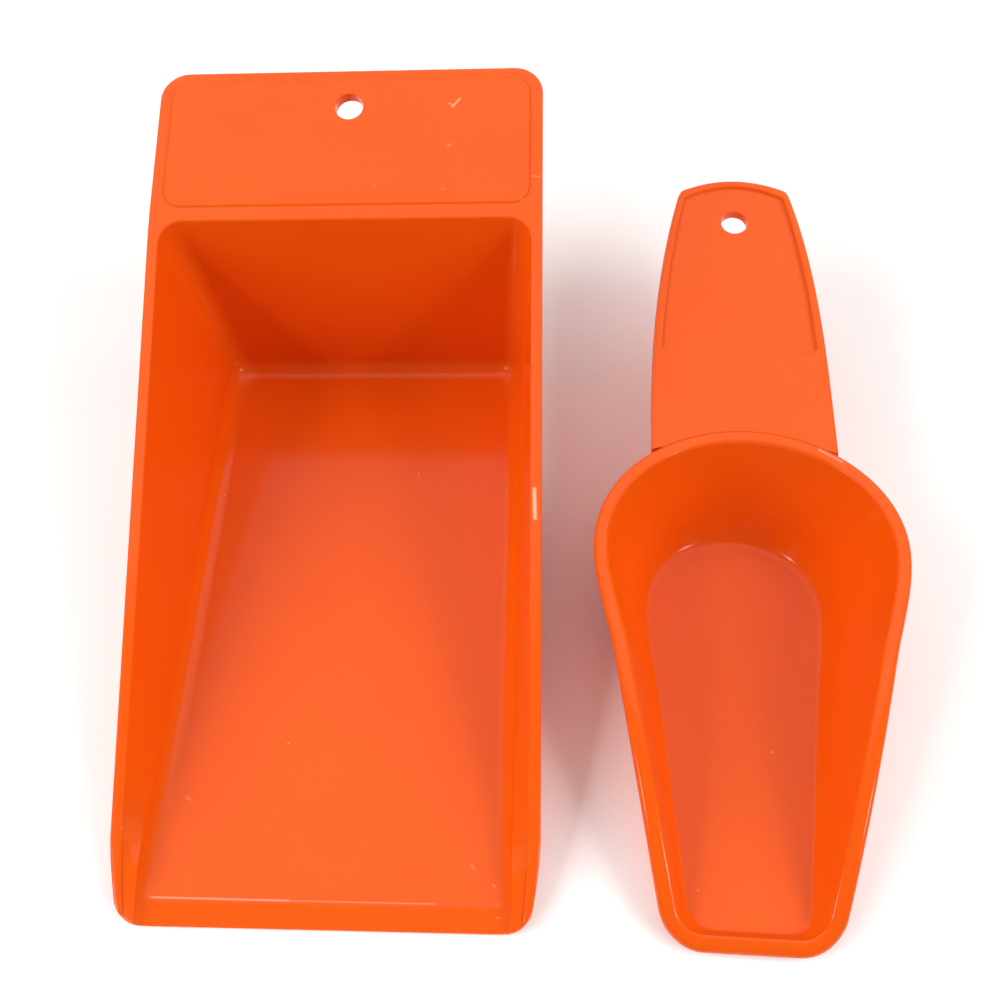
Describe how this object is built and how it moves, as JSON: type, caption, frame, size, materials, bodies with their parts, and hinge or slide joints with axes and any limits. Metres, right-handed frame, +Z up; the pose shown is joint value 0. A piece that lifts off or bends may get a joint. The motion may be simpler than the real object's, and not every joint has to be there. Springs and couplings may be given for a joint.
{
  "type": "canister scoop pair",
  "caption": "Moulded plastic canister scoops: a square-backed scoop with a flat plate handle beside a smaller round-backed scoop with an arched handle.",
  "frame": {"origin": "on the table, under the middle of the pair", "axes": "+X to the right, from the large scoop to the small one; +Y towards the handles; +Z up"},
  "size_m": [0.1864, 0.2049, 0.072],
  "materials": {
    "large_plastic": "glossy moulded polyethylene, orange",
    "small_plastic": "glossy moulded polyethylene, orange, with a pebbled handle recess"
  },
  "bodies": {
    "large": {"large_scoop": "large_plastic"},
    "small": {"small_scoop": "small_plastic"}
  },
  "joints": [
    {"name": "small_lift", "type": "slide", "parent": "large", "child": "small", "axis": [0, 0, 1], "range_m": [0, 0.1]}
  ]
}
